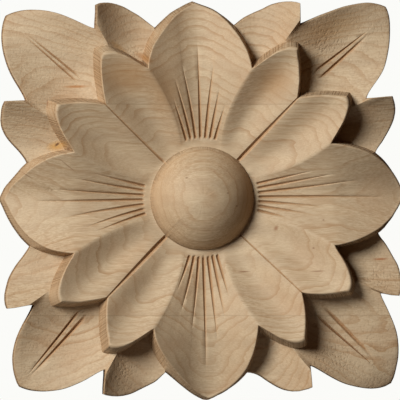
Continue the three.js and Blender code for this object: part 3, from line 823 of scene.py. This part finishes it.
# How squarely the surface faces along the fibres, to the front, and up or down
normal = add_node(tree, "NewGeometry", {}).outputs["Normal"]
facing = add_node(tree, "SeparateXYZ", {0: normal}).outputs
faces_along, faces_front, faces_up = [
    add_node(tree, "Math", {0: part}, operation="ABSOLUTE") for part in facing]
in_knife_cut, in_leaf, rim_run = [
    add_node(tree, "Attribute", {}, attribute_name=name).outputs["Fac"] for name in carried]

# How strongly bands, fibres, pores and the painted shade in the knife cuts show. The fibres
# are torn most on slopes that face up or down.
bands = add_node(tree, "MapRange", {"Value": grain(BAND), "From Min": 0.35, "From Max": 0.65})
blotch = add_node(tree, "MapRange", {"Value": grain(BLOTCH), "From Min": 0.5,
                                     "From Max": 0.75, "To Max": BLOTCH_SHOWS})
fibre = grain(FIBRE, 3, 0.65)
fibre_dark = add_node(tree, "MapRange", {"Value": fibre, "From Min": 0.62, "From Max": 0.38})
on_slope = add_node(tree, "MapRange", {
    "Value": faces_up, "From Min": 0.1, "From Max": 0.6,
    "To Min": TORN_FIBRE_SHOWS[0], "To Max": TORN_FIBRE_SHOWS[1]})
torn = add_node(tree, "Math", {0: fibre_dark, 1: on_slope}, operation="MULTIPLY")
pores = add_node(tree, "MapRange", {"Value": grain(PORE, 1), "From Min": 0.62,
                                    "From Max": 0.76, "To Max": PORE_SHOWS})
end_grain = add_node(tree, "MapRange", {"Value": faces_along, "From Min": 0.2,
                                        "From Max": 0.9, "To Max": END_GRAIN_SHOWS})
# Painted shade: the deeper a knife cut, the darker brown it is painted.
knife_cut_shade = add_node(tree, "MapRange", {"Value": in_knife_cut, "From Min": 0.05,
                                        "From Max": 0.55, "To Max": CUT_SHADE_SHOWS})

# The chisel's strokes run down the walls, side by side along the rim.
on_wall = add_node(tree, "MapRange", {"Value": faces_front, "From Min": 0.55, "From Max": 0.3})
strokes_along = add_node(tree, "Math", {0: rim_run, 1: STROKE_WIDTH}, operation="DIVIDE")
comb = add_node(tree, "TexNoise", {"W": strokes_along, "Scale": 1, "Detail": 1},
                noise_dimensions="1D")
comb = add_node(tree, "MapRange", {"Value": comb, "From Min": 0.45, "From Max": 0.65})
stroke = add_node(tree, "Math", {0: comb, 1: on_wall}, operation="MULTIPLY")
stroke_shows = add_node(tree, "Math", {0: stroke, 1: STROKE_SHOWS}, operation="MULTIPLY")

# The gouge's tip left pits at the bottoms of the leaves, and more of them in some places.
pits = add_node(tree, "MapRange", {"Value": grain(PIT, 1), "From Min": 0.5,
                                   "From Max": 0.68, "To Max": PITS_ANYWHERE})
for right, up, half_length, half_width in PITTED:
    pitted = mark(right, up, half_length, half_width, 0)
    more = add_node(tree, "MapRange", {"Value": pitted, "To Min": 1, "To Max": PITTED_SHOWS})
    pits = add_node(tree, "Math", {0: pits, 1: more}, operation="MULTIPLY")
pits = add_node(tree, "Math", {0: pits, 1: in_leaf}, operation="MULTIPLY")
pits_show = add_node(tree, "Math", {0: pits, 1: PIT_SHOWS}, operation="MULTIPLY")

# Each colour is laid over the ones before it.
layers = [(bands, PALE_BAND), (late, LATE_WOOD), (blotch, BLOTCH_COLOUR), (torn, TORN_FIBRE),
          (pores, PORE_COLOUR), (end_grain, END_GRAIN), (stroke_shows, STROKE_COLOUR),
          (pits_show, PIT_COLOUR), (knife_cut_shade, CUT_SHADE_COLOUR)]
for line in GLUE_LINES:
    above = add_node(tree, "Math", {0: upward, 1: line}, operation="SUBTRACT")
    away = add_node(tree, "Math", {0: above}, operation="ABSOLUTE")
    glue = add_node(tree, "MapRange", {"Value": away, "From Min": GLUE_LINE_WIDTH,
                                       "From Max": GLUE_LINE_CORE, "To Max": GLUE_SHOWS})
    layers.append((glue, GLUE_COLOUR))
for *oval, shade, strength in MARKS:
    shown = add_node(tree, "Math", {0: mark(*oval), 1: strength}, operation="MULTIPLY")
    layers.append((shown, shade))
colour = linear(DARK_BAND)
for shown, shade in layers:
    colour = add_node(tree, "Mix", {0: shown, 6: colour, 7: linear(shade)},
                      data_type="RGBA").outputs[2]

# Fibres and grit stand up from the surface, and pits and strokes are cut into it.
relief = add_node(tree, "Math", {0: fibre, 1: FIBRE_RELIEF}, operation="MULTIPLY")
for part, high in ((grain(GRIT), GRIT_RELIEF), (pits, -PIT_RELIEF), (stroke, -STROKE_RELIEF)):
    relief = add_node(tree, "Math", {0: part, 1: high, 2: relief}, operation="MULTIPLY_ADD")
bump = add_node(tree, "Bump", {"Height": relief, "Strength": 1, "Distance": BUMP_DEPTH * MM})
roughness = add_node(tree, "MapRange", {"Value": fibre, "From Min": 0.3, "From Max": 0.7,
                                        "To Min": ROUGHNESS[0], "To Max": ROUGHNESS[1]})
surface = add_node(tree, "BsdfPrincipled", {
    "Base Color": colour, "Roughness": roughness, "IOR": IOR,
    "Specular IOR Level": REFLECTION, "Normal": bump})
add_node(tree, "OutputMaterial", {"Surface": surface})
mesh.materials.append(wood)

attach(rosette, "root")
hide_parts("rosette")

# The studio
# A plain pale floor well below, one soft light from the upper left, a white surround that the
# camera sees, and a little light from all round.

FLOOR_BELOW = 1.1
FLOOR_SIDE = 1.4
TOWARDS_LIGHT = Vector((-0.88, -1, 0.6)).normalized()
LIGHT_DISTANCE = 4
LIGHT_SIDE = 1.7
LIGHT_POWER = 180
FILL = 0.018
FILL_COLOUR = "#ffb07a"
BACKGROUND = "#fbfbf8"
FLOOR_COLOUR = "#e9e8e4"
FLOOR_ROUGHNESS = 0.8

floor_mesh = bpy.data.meshes.new("floor")
to_side = FLOOR_SIDE / 2
corners = [(-to_side, -to_side), (to_side, -to_side), (to_side, to_side), (-to_side, to_side)]
floor_mesh.from_pydata([(*corner, -FLOOR_BELOW) for corner in corners], [], [(0, 1, 2, 3)])
floor = bpy.data.objects.new("floor", floor_mesh)
bpy.context.collection.objects.link(floor)
pale = bpy.data.materials.new("matt_pale_board")
pale.use_nodes = True
board = pale.node_tree.nodes["Principled BSDF"].inputs
board["Base Color"].default_value = linear(FLOOR_COLOUR)
board["Roughness"].default_value = FLOOR_ROUGHNESS
floor_mesh.materials.append(pale)

lamp_data = bpy.data.lights.new("soft_light", "AREA")
lamp_data.shape = "DISK"
lamp_data.size = LIGHT_SIDE
lamp_data.energy = LIGHT_POWER
lamp = bpy.data.objects.new("soft_light", lamp_data)
lamp.location = TOWARDS_LIGHT * LIGHT_DISTANCE
lamp.rotation_mode = "QUATERNION"
lamp.rotation_quaternion = TOWARDS_LIGHT.to_track_quat("Z", "Y")
bpy.context.collection.objects.link(lamp)

world = bpy.data.worlds.new("studio")
bpy.context.scene.world = world
world.use_nodes = True
tree = world.node_tree
tree.nodes.clear()
seen = add_node(tree, "LightPath", {}).outputs["Is Camera Ray"]
surround = add_node(tree, "Background", {"Color": linear(BACKGROUND), "Strength": 1})
ambient = add_node(tree, "Background", {"Color": linear(FILL_COLOUR), "Strength": FILL})
either = add_node(tree, "MixShader", {0: seen, 1: ambient, 2: surround})
add_node(tree, "OutputWorld", {"Surface": either})

# The camera
# A long lens, a little left of straight in front, with the pattern turned slightly to the
# left in the frame.

CAMERA_DISTANCE = 2.0
CAMERA_LEFT = math.radians(2.2)
CAMERA_ROLL = math.radians(-1.4)
FRAME_WIDTH = 127 * MM
AIM = Vector((-0.16 * MM, -6 * MM, -0.48 * MM))
SENSOR = 36

back_to_camera = Vector((-math.sin(CAMERA_LEFT), -math.cos(CAMERA_LEFT), 0))
camera_data = bpy.data.cameras.new("camera")
camera_data.sensor_width = SENSOR
camera_data.lens = SENSOR * CAMERA_DISTANCE / FRAME_WIDTH
camera = bpy.data.objects.new("camera", camera_data)
camera.location = AIM + back_to_camera * CAMERA_DISTANCE
camera.rotation_mode = "QUATERNION"
turn_in_frame = Quaternion((0, 0, 1), CAMERA_ROLL)
camera.rotation_quaternion = back_to_camera.to_track_quat("Z", "Y") @ turn_in_frame
bpy.context.collection.objects.link(camera)
bpy.context.scene.camera = camera
bpy.context.scene.view_settings.view_transform = "Standard"
